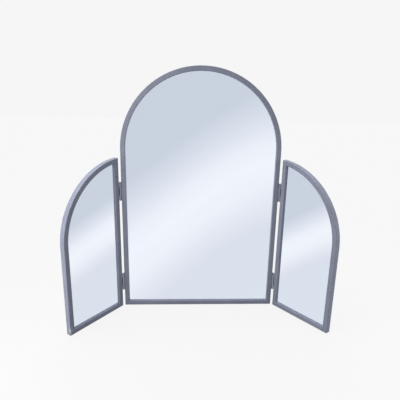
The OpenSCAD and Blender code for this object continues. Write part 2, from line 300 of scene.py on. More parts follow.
# %% Helpers for node trees
class Tree:
    """A material's nodes, with short ways to add and link them."""

    def __init__(self, name):
        self.material = bpy.data.materials.new(name)
        self.material.use_nodes = True
        self.nodes = self.material.node_tree.nodes
        self.links = self.material.node_tree.links
        self.shader = self.nodes["Principled BSDF"]
        self.place = self.nodes.new("ShaderNodeTexCoord").outputs["Object"]

    def add(self, kind, inputs=None, **settings):
        node = self.nodes.new(kind)
        for key, value in settings.items():
            setattr(node, key, value)
        for key, value in (inputs or {}).items():
            self.feed(node, key, value)
        return node

    def feed(self, node, key, value):
        if isinstance(value, bpy.types.NodeSocket):
            self.links.new(value, node.inputs[key])
        else:
            node.inputs[key].default_value = value

    def noise(self, scale, detail=2, roughness=0.5, stretch=(1, 1, 1)):
        """Noise that repeats about every 1/scale metres, longer where stretch is small."""
        mapping = self.add("ShaderNodeMapping", {"Vector": self.place, "Scale": stretch})
        inputs = {
            "Vector": mapping.outputs["Vector"],
            "Scale": scale,
            "Detail": detail,
            "Roughness": roughness,
        }
        return self.add("ShaderNodeTexNoise", inputs).outputs["Fac"]

    def spread(self, value, low, high, from_low=0.3, from_high=0.7):
        inputs = {
            "Value": value,
            "From Min": from_low,
            "From Max": from_high,
            "To Min": low,
            "To Max": high,
        }
        return self.add("ShaderNodeMapRange", inputs).outputs["Result"]

    def blend(self, share, first, second):
        node = self.add("ShaderNodeMix", data_type="RGBA")
        self.feed(node, 0, share)
        self.feed(node, 6, first)
        self.feed(node, 7, second)
        return node.outputs[2]

    def math(self, operation, first, second):
        return self.add("ShaderNodeMath", {0: first, 1: second}, operation=operation).outputs[0]

    def mix(self, share, first, second):
        node = self.add("ShaderNodeMixShader", {0: share})
        self.links.new(first, node.inputs[1])
        self.links.new(second, node.inputs[2])
        return node.outputs[0]

    def only_near_reflections(self, reach):
        """Lets mirrored rays through that have come further than that reach.

        Blender ends a ray in black once it has passed too many surfaces, so a ray that has passed
        most of them ends here in a glow of a pale studio tone: a painted reflection that stands in
        for the studio the ray would have reached."""
        path = self.nodes.new("ShaderNodeLightPath")
        far = self.math("GREATER_THAN", path.outputs["Ray Length"], reach)
        gone = self.math("MULTIPLY", path.outputs["Is Glossy Ray"], far)
        tired = self.math("GREATER_THAN", path.outputs["Transparent Depth"], MOST_PASSED)
        clear = self.nodes.new("ShaderNodeBsdfTransparent").outputs[0]
        # painted reflection: the paint glows in a pale studio tone for mirrored rays that have
        # passed too many surfaces
        pale = self.add("ShaderNodeEmission", {"Color": STUDIO_PALE}).outputs[0]
        surface = self.mix(gone, self.shader.outputs[0], self.mix(tired, clear, pale))
        self.links.new(surface, self.nodes["Material Output"].inputs["Surface"])

    def bump(self, height, strength, distance):
        inputs = {"Height": height, "Strength": strength, "Distance": distance}
        node = self.add("ShaderNodeBump", inputs)
        self.links.new(node.outputs["Normal"], self.shader.inputs["Normal"])


def colour(red, green, blue):
    """A screen colour from 0 to 255, as the linear light that Blender works in."""
    parts = [v / 255 for v in (red, green, blue)]
    return (*[v / 12.92 if v <= 0.04045 else ((v + 0.055) / 1.055) ** 2.4 for v in parts], 1)


# %% [markdown]
# The paint itself is a blend of two close greys. Its last node is for the panes: a bar
# mirrors in the glass right beside it, but not in the other panels.

# %% The paint
NEAR, MOST_PASSED = 0.015, 5.5
# STUDIO_PALE is a painted reflection, the tone the bars' paint glows in for mirrored rays that have
# passed too many surfaces
STUDIO_PALE = colour(222, 229, 238)
PAINT_LIGHT, PAINT_DARK = (131, 135, 152), (122, 126, 141)
PRIMER, PRIMER_ROUGH = (186, 189, 195), 0.8
CHIPS_UP, CHIPS_REACH, CHIPS_EDGE = 0.014, 0.03, (0.41, 0.43)


def satin_paint(name, light, dark, chipped_at=None):
    tree = Tree(name)
    slow = tree.noise(18, detail=3)
    skin = tree.noise(650, detail=1)
    paint = tree.blend(tree.spread(slow, 0, 1), colour(*dark), colour(*light))
    gloss = tree.spread(tree.noise(60, detail=4), 0.36, 0.48)
    if chipped_at is not None:
        ends = {0: tree.place, 1: chipped_at}
        apart = tree.add("ShaderNodeVectorMath", ends, operation="DISTANCE")
        close_by = tree.spread(apart.outputs["Value"], 1, 0, 0, CHIPS_REACH)
        flakes = tree.noise(900, detail=4, roughness=0.55)
        chips = tree.spread(tree.math("MULTIPLY", flakes, close_by), 0, 1, *CHIPS_EDGE)
        paint = tree.blend(chips, paint, colour(*PRIMER))
        gloss = tree.math("MAXIMUM", gloss, tree.math("MULTIPLY", chips, PRIMER_ROUGH))
    tree.feed(tree.shader, "Base Color", paint)
    tree.feed(tree.shader, "Roughness", gloss)
    tree.bump(skin, 0.08, 0.0002)
    tree.only_near_reflections(NEAR)
    return tree.material


frame_paint = satin_paint("frame_paint_satin", PAINT_LIGHT, PAINT_DARK)
chip_corner = wing_place("left") @ Vector((WING_W, 0, CHIPS_UP))
left_wing_paint = satin_paint("frame_paint_chipped", PAINT_LIGHT, PAINT_DARK, chip_corner)
print("paints:", frame_paint.name, left_wing_paint.name)

# %% [markdown]
# ## Silvered glass
#
# A mirror is clear glass with a coat of silver behind it. Since nearly all the light
# comes back from the silver, a metal with next to no roughness stands for both. Float
# glass is a touch green and never quite flat, so the tint is slightly cool and a very
# slow, very weak bump bends the reflection by less than the eye can name.

# %% The mirror glass
def silvered_glass():
    tree = Tree("mirror_silvered_glass")
    tree.feed(tree.shader, "Metallic", 1.0)
    tint = tree.blend(tree.noise(9, detail=2), colour(248, 250, 252), colour(251, 252, 254))
    tree.feed(tree.shader, "Base Color", tint)
    tree.feed(tree.shader, "Roughness", tree.spread(tree.noise(35, detail=5), 0.012, 0.03))
    tree.bump(tree.noise(7, detail=1), 0.02, 0.0004)
    return tree.material


mirror_glass = silvered_glass()
print("glass:", mirror_glass.name)

# %% [markdown]
# ## Hardboard and plated steel
#
# Hardboard is pressed brown fibre. Its matted hairs run every way, and noise has such
# lines: the places where it crosses its middle value. Two noises, each stretched along
# another axis, give two mats of them, and slower noise the patches where the board took
# more resin. Zinc-plated steel is a grey metal whose plating clouds as it ages. The
# hinges have a darker and smoother plating, so their rolled knuckles catch a bright line.

# %% The board and the platings
FIBRE_MATS = ((620, (1, 1, 0.35)), (760, (0.35, 1, 1)))
FIBRE, BINDER, RESIN = (158, 126, 95), (128, 98, 72), (112, 84, 61)


def hardboard():
    tree = Tree("board_pressed_fibre")
    fibres = []
    for scale, stretch in FIBRE_MATS:
        from_middle = tree.math("SUBTRACT", tree.noise(scale, 3, 0.6, stretch), 0.5)
        fibres.append(tree.math("ABSOLUTE", from_middle, 0.0))
    hairs = tree.math("MULTIPLY", tree.math("MINIMUM", *fibres), 6.0)
    patches = tree.noise(14, detail=4)
    brown = tree.blend(tree.spread(hairs, 0, 1, 0.0, 0.4), colour(*FIBRE), colour(*BINDER))
    brown = tree.blend(tree.spread(patches, 0, 0.35), brown, colour(*RESIN))
    tree.feed(tree.shader, "Base Color", brown)
    tree.feed(tree.shader, "Roughness", tree.spread(hairs, 0.62, 0.85))
    tree.bump(hairs, 0.3, 0.0003)
    return tree.material


def plated_steel(name, dark, light, rough, smooth):
    tree = Tree(name)
    tree.feed(tree.shader, "Metallic", 1.0)
    clouds = tree.noise(240, detail=4)
    tree.feed(tree.shader, "Base Color", tree.blend(clouds, colour(*dark), colour(*light)))
    tree.feed(tree.shader, "Roughness", tree.spread(tree.noise(900, detail=3), smooth, rough))
    tree.bump(tree.noise(1500, detail=2), 0.08, 0.0001)
    return tree.material


board_material = hardboard()
zinc = plated_steel("zinc_clouded", (150, 153, 160), (176, 178, 178), 0.46, 0.30)
hinge_steel = plated_steel("hinge_steel_dark", (138, 141, 149), (160, 162, 168), 0.28, 0.16)
print("materials:", [m.name for m in bpy.data.materials if m.use_nodes])

# %% [markdown]
# ## The glass and the boards stay as packed
#
# The panes and the boards are flat plates whose edges are hidden in the frame, so
# the CAD solids already have the shape that shows. They only need their materials.

# %% Dress the panes and boards
def dress(node, material):
    piece = nodes[node]
    piece.data.materials.clear()
    piece.data.materials.append(material)
    for face in piece.data.polygons:
        face.material_index = 0


for panel in ("centre", "left_wing", "right_wing"):
    dress(f"{panel}_mirror", mirror_glass)
    dress(f"{panel}_backing_board", board_material)
print("dressed 3 panes and 3 boards")


# %% [markdown]
# ## The frame's section
#
# The bars are a rolled hollow section: a deep box with a thin lip beside it, behind
# which the glass sits. It could be extruded along a curve, but spinning a drawn face
# makes the same bar and keeps its ends square for the mitres. The face is drawn as a
# joiner draws a rebate: a rectangle, a lip pulled out of its side, and four corners
# rounded, each with its own radius.

# %% Draw the section
ON_THE_CUT = TINY / 10


def bar_section(name):
    """The section on the floor plane, X inwards from the outer edge and Y back from the face."""
    piece = rectangle(name, 0, BOX_W, 0, FRAME_D)
    bpy.ops.mesh.bisect(plane_co=(0, LIP_D, 0), plane_no=(0, 1, 0))
    pick(piece, "EDGE", lambda p: near(p.x, BOX_W) and p.y < LIP_D)
    extrude(FACE_W - BOX_W, 0, 0)
    bpy.ops.mesh.select_all(action="SELECT")
    bpy.ops.mesh.dissolve_limited(angle_limit=math.radians(1))
    corners = {
        (0, 0): OUTER_ROUND,
        (FACE_W, 0): LIP_ROUND,
        (BOX_W, FRAME_D): REAR_ROUND,
        (0, FRAME_D): REAR_ROUND,
    }
    for (x, y), radius in corners.items():
        pick(piece, "VERT", lambda p: near(p.x, x) and near(p.y, y))
        bpy.ops.mesh.bevel(offset=radius, segments=5, affect="VERTICES")
    bpy.ops.mesh.select_mode(type="FACE")
    bpy.ops.mesh.select_all(action="SELECT")
    return piece


def mitre(piece, test, point, normal):
    """Cuts the faces that pass the test off square to the normal, on its far side."""
    pick(piece, "FACE", test)
    bpy.ops.mesh.bisect(
        plane_co=point, plane_no=normal, use_fill=True, clear_outer=True, threshold=ON_THE_CUT
    )


# %% [markdown]
# ## The centre's arch bar
#
# Both stiles and the arch are one bent length. The section is drawn at the foot of the
# left stile, extruded up to where the arch springs, spun through half a turn about the
# arch's middle, and extruded down again. A bisect at 45 degrees then mitres each foot.

# %% Bend the centre's arch bar
ARCH_STEPS = 96


def bend_centre_arch():
    piece = bar_section("centre_arch_bar_bent")
    bpy.ops.transform.translate(value=(-CENTRE_R, 0, 0))
    extrude(0, 0, SPRING_Z)
    bpy.ops.mesh.spin(steps=ARCH_STEPS, angle=-math.pi, center=(0, 0, SPRING_Z), axis=(0, 1, 0))
    extrude(0, 0, -SPRING_Z)
    for side in (-1, 1):
        mitre(
            piece,
            lambda p: p.x * side > CENTRE_R - 2 * FACE_W and p.z < SPRING_Z - TINY,
            (side * CENTRE_R, 0, 0),
            (-side, 0, -1),
        )
    return put(close(piece), centre_place())


centre_arch = bend_centre_arch()
print("centre arch bar:", len(centre_arch.data.polygons), "faces")


# %% [markdown]
# ## Base rails and their welds
#
# A rail is the same section laid down and mitred at both ends. Where it meets the
# uprights the weld was dressed to a small concave fillet on the lip. That is a square
# whose far corner is eaten away by a bevel with a hollow profile.

# %% Lay the base rails
WELD_R, HOLLOW = 0.003, 0.08


def lay_rail(name, length):
    """A rail along X from 0, with its underside on Z = 0 and its face on Y = 0."""
    piece = bar_section(name)
    bpy.ops.transform.rotate(value=math.pi / 2, orient_axis="Y", center_override=(0, 0, 0))
    extrude(length, 0, 0)
    bpy.ops.mesh.select_all(action="SELECT")
    lowest = min(v.co.z for v in bmesh.from_edit_mesh(piece.data).verts)
    if lowest < -TINY:  # which way the turn goes depends on whether there is a window
        bpy.ops.transform.mirror(constraint_axis=(False, False, True), center_override=(0, 0, 0))
    mitre(piece, lambda p: True, (0, 0, 0), (-1, 0, 1))
    mitre(piece, lambda p: True, (length, 0, 0), (1, 0, 1))
    return close(piece)


def dress_weld(name):
    """The weld in a corner at the origin, running along +X and +Z on the lip's wall."""
    piece = rectangle(name, 0, WELD_R, 0, WELD_R)
    pick(piece, "VERT", lambda p: near(p.x, WELD_R) and near(p.y, WELD_R))
    bpy.ops.mesh.bevel(offset=WELD_R - 2 * TINY, segments=6, profile=HOLLOW, affect="VERTICES")
    bpy.ops.mesh.select_mode(type="FACE")
    bpy.ops.mesh.select_all(action="SELECT")
    extrude(0, 0, LIP_D - LIP_ROUND)
    close(piece)
    lie_down = Matrix(((1, 0, 0, 0), (0, 0, 1, LIP_ROUND), (0, 1, 0, 0), (0, 0, 0, 1)))
    return put(piece, lie_down)


def welded_rail(name, length):
    rail = lay_rail(name, length)
    weld = dress_weld(name + "_weld")
    left_corner = Matrix.Translation((FACE_W, 0, FACE_W))
    right_corner = Matrix.Translation((length - FACE_W, 0, FACE_W)) @ Matrix.Scale(-1, 4, (1, 0, 0))
    welds = copies(weld, name + "_welds", [left_corner, right_corner])
    bpy.data.objects.remove(weld)
    bpy.ops.object.select_all(action="DESELECT")
    welds.select_set(True)
    rail.select_set(True)
    bpy.context.view_layer.objects.active = rail
    bpy.ops.object.join()
    return rail


centre_rail = welded_rail("centre_base_rail_welded", 2 * CENTRE_R)
put(centre_rail, centre_place() @ Matrix.Translation((-CENTRE_R, 0, 0)))
wing_rail = welded_rail("wing_base_rail_welded", WING_W)
print("rails:", len(centre_rail.data.polygons), "and", len(wing_rail.data.polygons), "faces")


# %% [markdown]
# ## The wing's bars
#
# A wing has a straight stile at the hinges and one bent length for its outer stile and
# quarter arch. The arch's middle lies a little beyond the hinged edge, so the arch is
# still rising gently where it meets the stile, and the two bars are mitred along the
# line between their outer and inner corners.

# %% Bend the wing's arch bar and cut its stile
def arch_height(inset):
    """Height of the wing's arch that far in, from its outer edge and from the hinged edge."""
    return ARCH_Z + math.sqrt((WING_R - inset) ** 2 - (inset - ARCH_U) ** 2)


CORNER_OUT, CORNER_IN = arch_height(0), arch_height(FACE_W)


def bend_wing_arch():
    piece = bar_section("wing_arch_bar_bent")
    bpy.ops.transform.mirror(constraint_axis=(True, False, False), center_override=(0, 0, 0))
    bpy.ops.transform.translate(value=(WING_W, 0, 0))
    extrude(0, 0, ARCH_Z)
    middle = (ARCH_U, 0, ARCH_Z)
    bpy.ops.mesh.spin(steps=ARCH_STEPS // 2, angle=math.pi / 2, center=middle, axis=(0, 1, 0))
    mitre(piece, lambda p: p.z < ARCH_Z - TINY, (WING_W, 0, 0), (-1, 0, -1))
    across = (CORNER_IN - CORNER_OUT, 0, -FACE_W)
    mitre(piece, lambda p: p.x < 4 * FACE_W, (0, 0, CORNER_OUT), across)
    return close(piece)


def cut_wing_stile():
    piece = bar_section("wing_inner_stile_cut")
    extrude(0, 0, CORNER_OUT)
    mitre(piece, lambda p: True, (0, 0, 0), (1, 0, -1))
    mitre(piece, lambda p: True, (0, 0, CORNER_OUT), (CORNER_OUT - CORNER_IN, 0, FACE_W))
    return close(piece)


wing_arch = bend_wing_arch()
wing_stile = cut_wing_stile()
print("wing bars:", len(wing_arch.data.polygons), "and", len(wing_stile.data.polygons), "faces")


# %% [markdown]
# A finished bar is shaded, painted and hung on the body it rides on, and the CAD solid it stands
# for is hidden. The wings' bars are copied for each side, because the two wings are mirror images.

# %% Hand the bars over to the frame
def hand_over(piece, material, slot, body, *stands_for):
    shade(piece)
    piece.data.materials.clear()
    piece.data.materials.append(material)
    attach(piece, body)
    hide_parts(*stands_for)
    return piece


hand_over(centre_arch, frame_paint, "frame_paint", "centre_panel", "centre_arch_bar")
hand_over(centre_rail, frame_paint, "frame_paint", "centre_panel", "centre_base_rail")
for side in SIDES:
    paint = left_wing_paint if side == "left" else frame_paint
    bars = {"arch_bar": wing_arch, "inner_stile": wing_stile, "base_rail": wing_rail}
    for part, pattern in bars.items():
        bar = copies(pattern, f"{side}_wing_{part}_made", [wing_place(side)])
        hand_over(bar, paint, "frame_paint", f"{side}_wing", f"{side}_wing_{part}")
for pattern in (wing_arch, wing_stile, wing_rail):
    bpy.data.objects.remove(pattern)
print("8 bars stand in their places")

# %% [markdown]
# ## Hinge leaves
#
# A butt hinge leaf is a strip of steel: it lies flat on the frame's side, runs on past
# the pin and is rolled back round it until only a narrow seam stays open. The two end
# knuckles belong to the frame's leaf and the middle one to the wing's, and each leaf is
# notched where the other's knuckle turns. The plate is extruded first and cut across
# where the knuckles end. Then only the front faces between those cuts are pulled up
# beside the pin and spun round it.

# %% Roll the hinge leaves
HINGE_L, MID_KNUCKLE_L, KNUCKLE_GAP = 0.052, 0.026, 0.0002
END_KNUCKLE_L = (HINGE_L - MID_KNUCKLE_L) / 2 - KNUCKLE_GAP
LEAF_W, LEAF_CORNER = 0.014, 0.0015
KNUCKLE_CLEAR = 0.0003
NOTCH_Y = math.sqrt((KNUCKLE_R + KNUCKLE_CLEAR) ** 2 - BORE_R**2)
SCREW_Y = (NOTCH_Y + LEAF_W) / 2
ROLL_SEAM = 0.0002
ROLL = 2 * math.pi - math.acos((BORE_R - ROLL_SEAM) / KNUCKLE_R)
ROLL_STEPS = 30
SCREW_R, SCREW_SLACK, SCREW_PITCH = 0.00125, 0.00005, 0.018
SINK_R = SCREW_R + LEAF_T
SCREW_HEIGHTS = (-SCREW_PITCH, 0, SCREW_PITCH)
BURR = 0.00012
ROUND = 32  # sides of a small cylinder

LEAF_END = HINGE_L / 2
END_KNUCKLES = [(-LEAF_END, END_KNUCKLE_L - LEAF_END), (LEAF_END - END_KNUCKLE_L, LEAF_END)]
MID_KNUCKLE = [(-MID_KNUCKLE_L / 2, MID_KNUCKLE_L / 2)]


def countersinks():
    """Three cones along X, to cut the seats of the screws' heads out of a leaf."""
    spare = 0.1
    cone = begin(
        "countersink",
        bpy.ops.mesh.primitive_cone_add,
        vertices=ROUND,
        radius1=SINK_R + SCREW_SLACK + spare * LEAF_T,
        radius2=SCREW_R + SCREW_SLACK - spare * LEAF_T,
        depth=LEAF_T * (1 + 2 * spare),
        rotation=(0, math.pi / 2, 0),
    )
    close(cone)
    bpy.ops.object.transform_apply(location=False, rotation=True, scale=False)
    places = [Matrix.Translation((KNUCKLE_R - LEAF_T / 2, SCREW_Y, z)) for z in SCREW_HEIGHTS]
    cutter = copies(cone, "countersinks", places)
    bpy.data.objects.remove(cone)
    return cutter


def roll_leaf(name, knuckles):
    """A leaf about its pin on Z, lying on the side of a frame that begins at X = KNUCKLE_R."""
    piece = rectangle(name, BORE_R, KNUCKLE_R, NOTCH_Y, LEAF_W)
    bpy.ops.transform.translate(value=(0, 0, -LEAF_END))
    extrude(0, 0, HINGE_L)
    for height in {z for ends in knuckles for z in ends if abs(z) < LEAF_END - TINY}:
        bpy.ops.mesh.select_all(action="SELECT")
        bpy.ops.mesh.bisect(plane_co=(0, 0, height), plane_no=(0, 0, 1), threshold=ON_THE_CUT)
    pick(piece, "EDGE", lambda p: near(p.y, LEAF_W) and near(abs(p.z), LEAF_END))
    bpy.ops.mesh.bevel(offset=LEAF_CORNER, segments=4)
    pick(piece, "FACE", lambda p: near(p.y, NOTCH_Y) and any(a < p.z < b for a, b in knuckles))
    extrude(0, -NOTCH_Y, 0)
    bpy.ops.mesh.spin(steps=ROLL_STEPS, angle=ROLL, center=(0, 0, 0), axis=(0, 0, 1))
    close(piece)
    cut_away(piece, countersinks())
    soften(piece, BURR)
    return piece


frame_leaf = roll_leaf("frame_leaf_rolled", END_KNUCKLES)
wing_leaf = roll_leaf("wing_leaf_rolled", MID_KNUCKLE)
print("leaves:", len(frame_leaf.data.polygons), "and", len(wing_leaf.data.polygons), "faces")


# %% [markdown]
# ## Hinge pins
#
# The pin is a length of wire that a hammer has spread at both ends so that it cannot
# fall out. Each end face is pulled out in steps and scaled at every step, first wider
# than the wire and then narrower again, which gives a low mushroom.

# %% Peen the hinge pin
PIN_HEAD_R, PIN_HEAD_H = 0.0022, 0.0008
PEEN = ((0.15, 1.0), (0.55, 0.86), (0.30, 0.62))


def peen_pin(name):
    cylinder = bpy.ops.mesh.primitive_cylinder_add
    piece = begin(name, cylinder, vertices=ROUND, radius=PIN_R, depth=HINGE_L)
    for end in (-1, 1):
        pick(piece, "FACE", lambda p: near(p.z, end * LEAF_END))
        bpy.ops.mesh.extrude_region_move(TRANSFORM_OT_translate={"value": (0, 0, 0)})
        bpy.ops.transform.resize(value=(PIN_HEAD_R / PIN_R, PIN_HEAD_R / PIN_R, 1))
        width = 1
        for rise, share in PEEN:
            extrude(0, 0, end * rise * PIN_HEAD_H)
            bpy.ops.transform.resize(value=(share / width, share / width, 1))
            width = share
    return close(piece)


hinge_pin = peen_pin("hinge_pin_peened")
print("pin:", len(hinge_pin.data.polygons), "faces")


# %% [markdown]
# ## Screws
#
# Two kinds of cross-head screw hold the mirror together: pan heads through the clips
# and countersunk heads through the hinges. A screw is easiest to turn from its shank
# upwards. The top of the shank is widened to the head and pulled up, and then either
# its rim is bevelled to a dome, or the widening itself is the countersunk cone. Two
# tapered blocks cut the cross.

# %% Turn the two screws
HEAD_R, HEAD_H, CLIP_SCREW_L = 0.0025, 0.0014, 0.006
DOME, DOME_PROFILE = 0.0009, 0.38
HINGE_SCREW_L = 0.005
CROSS_REACH, CROSS_SLOT, CROSS_DEPTH, CROSS_TAPER = 0.00125, 0.0006, 0.0009, 0.5
TIP, TIP_TAPER = 0.001, 0.45


def turn_shank(name, length):
    """A shank on Z that ends at Z = 0, with that end selected and its tip drawn in."""
    body = length - TIP
    cylinder = bpy.ops.mesh.primitive_cylinder_add
    piece = begin(name, cylinder, vertices=ROUND, radius=SCREW_R, depth=body)
    bpy.ops.transform.translate(value=(0, 0, -body / 2))
    pick(piece, "FACE", lambda p: near(p.z, -body))
    extrude(0, 0, -TIP)
    bpy.ops.transform.resize(value=(TIP_TAPER, TIP_TAPER, 1))
    pick(piece, "FACE", lambda p: near(p.z, 0))
    return piece


def cut_cross(piece, top):
    """Cuts a cross recess into a head whose top is at that height."""
    for turn in (0, math.pi / 2):
        block = begin("cross_block", bpy.ops.mesh.primitive_cube_add, size=1)
        bpy.ops.transform.resize(value=(2 * CROSS_REACH, CROSS_SLOT, 2 * CROSS_DEPTH))
        pick(block, "FACE", lambda p: p.z < TINY - CROSS_DEPTH)
        bpy.ops.transform.resize(value=(CROSS_TAPER, CROSS_TAPER, 1))
        close(block)
        put(block, Matrix.Translation((0, 0, top)) @ Matrix.Rotation(turn, 4, "Z"))
        cut_away(piece, block)
    return piece


def turn_pan_screw(name):
    """A pan-head screw whose head stands on Z = 0."""
    piece = turn_shank(name, CLIP_SCREW_L)
    bpy.ops.mesh.extrude_region_move()
    bpy.ops.transform.resize(value=(HEAD_R / SCREW_R, HEAD_R / SCREW_R, 1))
    extrude(0, 0, HEAD_H)
    pick(piece, "EDGE", lambda p: near(p.z, HEAD_H))
    bpy.ops.mesh.bevel(offset=DOME, segments=5, profile=DOME_PROFILE)
    return cut_cross(close(piece), HEAD_H)


def turn_sunk_screw(name):
    """A countersunk screw on Z whose head fills the leaf from Z = 0 to its thickness."""
    piece = turn_shank(name, HINGE_SCREW_L - LEAF_T)
    extrude(0, 0, LEAF_T)
    bpy.ops.transform.resize(value=(SINK_R / SCREW_R, SINK_R / SCREW_R, 1))
    return cut_cross(close(piece), LEAF_T)


pan_screw = turn_pan_screw("pan_screw")
sunk_screw = turn_sunk_screw("sunk_screw")
print("screws:", len(pan_screw.data.polygons), "and", len(sunk_screw.data.polygons), "faces")


# %% [markdown]
# ## Retaining clips
#
# Steel clips behind the frame press the boards and the glass against the lip. Each is
# a strip bent twice, in a step. Bent sheet is easiest to make as a surface without
# thickness: the strip's end edge is extruded down and out again, the two folds and the
# four corners are bevelled round, and Solidify gives the sheet its thickness last, so
# that the inner and the outer radius of a bend always match. The two folds share one
# low step, so each takes less than half of it.

# %% Bend a clip
CLIP_W, CLIP_T, CLIP_REACH, CLIP_GAP = 0.012, 0.001, 0.009, 0.0003
CLIP_STEP = BOX_W + CLIP_GAP + CLIP_T / 2
CLIP_TIP = BOX_W + CLIP_GAP + CLIP_T + CLIP_REACH
BOARD_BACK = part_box("centre_backing_board")[1].y - FACE_Y
CLIP_DROP = FRAME_D - BOARD_BACK
CLIP_BEND, CLIP_CORNER = 0.4 * CLIP_DROP, 0.0018
CLIP_BURR = 0.00015


def bend_clip(name):
    """A clip along Y, with its foot's middle surface on Z = 0 and its tongue along +X."""
    piece = rectangle(name, REAR_ROUND, CLIP_STEP, -CLIP_W / 2, CLIP_W / 2)
    pick(piece, "EDGE", lambda p: near(p.x, CLIP_STEP))
    extrude(0, 0, -CLIP_DROP)
    extrude(CLIP_TIP - CLIP_STEP, 0, 0)
    folds = [(CLIP_STEP, 0), (CLIP_STEP, -CLIP_DROP)]
    pick(piece, "EDGE", lambda p: any(near(p.x, x) and near(p.z, z) for x, z in folds))
    bpy.ops.mesh.bevel(offset=CLIP_BEND, segments=5)
    pick(piece, "VERT", lambda p: near(p.x, REAR_ROUND) or near(p.x, CLIP_TIP))
    bpy.ops.mesh.bevel(offset=CLIP_CORNER, segments=4, affect="VERTICES")
    close(piece)
    apply_modifier(piece, "SOLIDIFY", thickness=CLIP_T, offset=0, use_even_offset=True)
    hole = begin(
        "clip_hole",
        bpy.ops.mesh.primitive_cylinder_add,
        vertices=ROUND,
        radius=SCREW_R + SCREW_SLACK,
        depth=4 * CLIP_T,
        location=(BOX_W / 2, 0, 0),
    )
    close(hole)
    bpy.ops.object.transform_apply(location=True, rotation=False, scale=False)
    cut_away(piece, hole)
    soften(piece, CLIP_BURR)
    return piece


retaining_clip = bend_clip("retaining_clip")
print("clip:", len(retaining_clip.data.polygons), "faces")

# %% [markdown]
# ## Hanging the small parts
#
# Now each pattern goes to its places. Clips sit at even spaces along the stiles, the
# rails and the arches, and each place is an outer edge point with an angle that points
# into the panel. The hinges repeat at two heights on both sides.

# %% The places of the clips
HINGE_HEIGHTS = {"lower": 0.0785, "upper": 0.353}
BACKWARDS = Matrix.Rotation(-math.pi / 2, 4, "X")


def even(count, length):
    """The middles of that many equal shares of a length."""
    return [length * (i + 0.5) / count for i in range(count)]


def round_arch(middle_x, middle_z, radius, angles):
    return [
        (middle_x + radius * math.cos(a), middle_z + radius * math.sin(a), a + math.pi)
        for a in angles
    ]


centre_clips = [(-CENTRE_R, z, 0) for z in even(2, SPRING_Z)]
centre_clips += [(CENTRE_R, z, math.pi) for z in even(2, SPRING_Z)]
centre_clips += round_arch(0, SPRING_Z, CENTRE_R, even(3, math.pi))
centre_clips += [(x - CENTRE_R, 0, math.pi / 2) for x in even(2, 2 * CENTRE_R)]
wing_clips = [(0, z, 0) for z in even(2, CORNER_IN)]
wing_clips += [(WING_W, ARCH_Z / 2, math.pi), (WING_W / 2, 0, math.pi / 2)]
wing_clips += round_arch(ARCH_U, ARCH_Z, WING_R, even(2, math.acos(-ARCH_U / WING_R)))


def clip_matrices(panel_place, places, depth):
    """Matrices that stand a pattern up behind the frame, at that depth behind its face."""
    stand = Matrix.Translation((0, depth, 0)) @ BACKWARDS
    return [
        panel_place @ Matrix.Translation((x, 0, z)) @ Matrix.Rotation(-angle, 4, "Y") @ stand
        for x, z, angle in places
    ]


print("clips:", len(centre_clips), "on the centre panel and", len(wing_clips), "on each wing")

# %% [markdown]
# On a panel the foot of a clip lies on the back of the frame, and its screw's head on
# the foot. The three panels differ only in their body, their place and their clips.

# %% Fit the clips and their screws
PANELS = {
    "centre": ("centre_panel", centre_place(), centre_clips),
    "left_wing": ("left_wing", wing_place("left"), wing_clips),
    "right_wing": ("right_wing", wing_place("right"), wing_clips),
}
for panel, (body, place, places) in PANELS.items():
    feet = clip_matrices(place, places, FRAME_D + CLIP_T / 2)
    clips = copies(retaining_clip, f"{panel}_clips_bent", feet)
    hand_over(clips, zinc, "zinc_plated_steel", body, f"{panel}_retaining_clips")
    screw_mid = Matrix.Translation((BOX_W / 2, 0, 0))
    heads = [m @ screw_mid for m in clip_matrices(place, places, FRAME_D + CLIP_T)]
    screws = copies(pan_screw, f"{panel}_clip_screws_turned", heads)
    hand_over(screws, zinc, "zinc_plated_steel", body, f"{panel}_clip_screws")
print("clips and pan screws are on")

# %% [markdown]
# Each hinge is a frame leaf, a wing leaf and a pin. A countersunk screw points away from
# the pin, into the side of the frame, so its pattern is first laid along X and then
# follows its leaf. The wing's screws ride with the wing.

# %% Hang the hinges
TOWARDS_PIN = Matrix.Rotation(-math.pi / 2, 4, "Y")
in_leaf = [Matrix.Translation((KNUCKLE_R, SCREW_Y, z)) @ TOWARDS_PIN for z in SCREW_HEIGHTS]
frame_screw_places = []
for side in SIDES:
    wing_screw_places = []
    for level, height in HINGE_HEIGHTS.items():
        on_frame, on_wing = frame_hinge_place(side, height), wing_hinge_place(side, height)
        hinge = f"{side}_{level}_hinge"
        leaf = copies(frame_leaf, f"{hinge}_frame_leaf_rolled", [on_frame])
        hand_over(leaf, hinge_steel, "hinge_steel", "centre_panel", f"{hinge}_frame_leaf")
        leaf = copies(wing_leaf, f"{hinge}_wing_leaf_rolled", [on_wing])
        hand_over(leaf, hinge_steel, "hinge_steel", f"{side}_wing", f"{hinge}_wing_leaf")
        pin = copies(hinge_pin, f"{hinge}_pin_peened", [on_frame])
        hand_over(pin, zinc, "zinc_plated_steel", "centre_panel", f"{hinge}_pin")
        frame_screw_places += [on_frame @ m for m in in_leaf]
        wing_screw_places += [on_wing @ m for m in in_leaf]
    screws = copies(sunk_screw, f"{side}_wing_hinge_screws_turned", wing_screw_places)
    hand_over(screws, zinc, "zinc_plated_steel", f"{side}_wing", f"{side}_wing_hinge_screws")
screws = copies(sunk_screw, "centre_hinge_screws_turned", frame_screw_places)
hand_over(screws, zinc, "zinc_plated_steel", "centre_panel", "centre_hinge_screws")
for pattern in (retaining_clip, pan_screw, sunk_screw, frame_leaf, wing_leaf, hinge_pin):
    bpy.data.objects.remove(pattern)

# %% [markdown]
# ## Floor and light
#
# The mirror stands on a pale floor that runs into a pale backdrop of the same tone, so
# that no horizon shows. For the camera the floor glows by itself up to that tone, and
# the lamps add the little that is missing. Where the mirror keeps their light away, the
# floor stays a shade darker, which is its soft shadow.

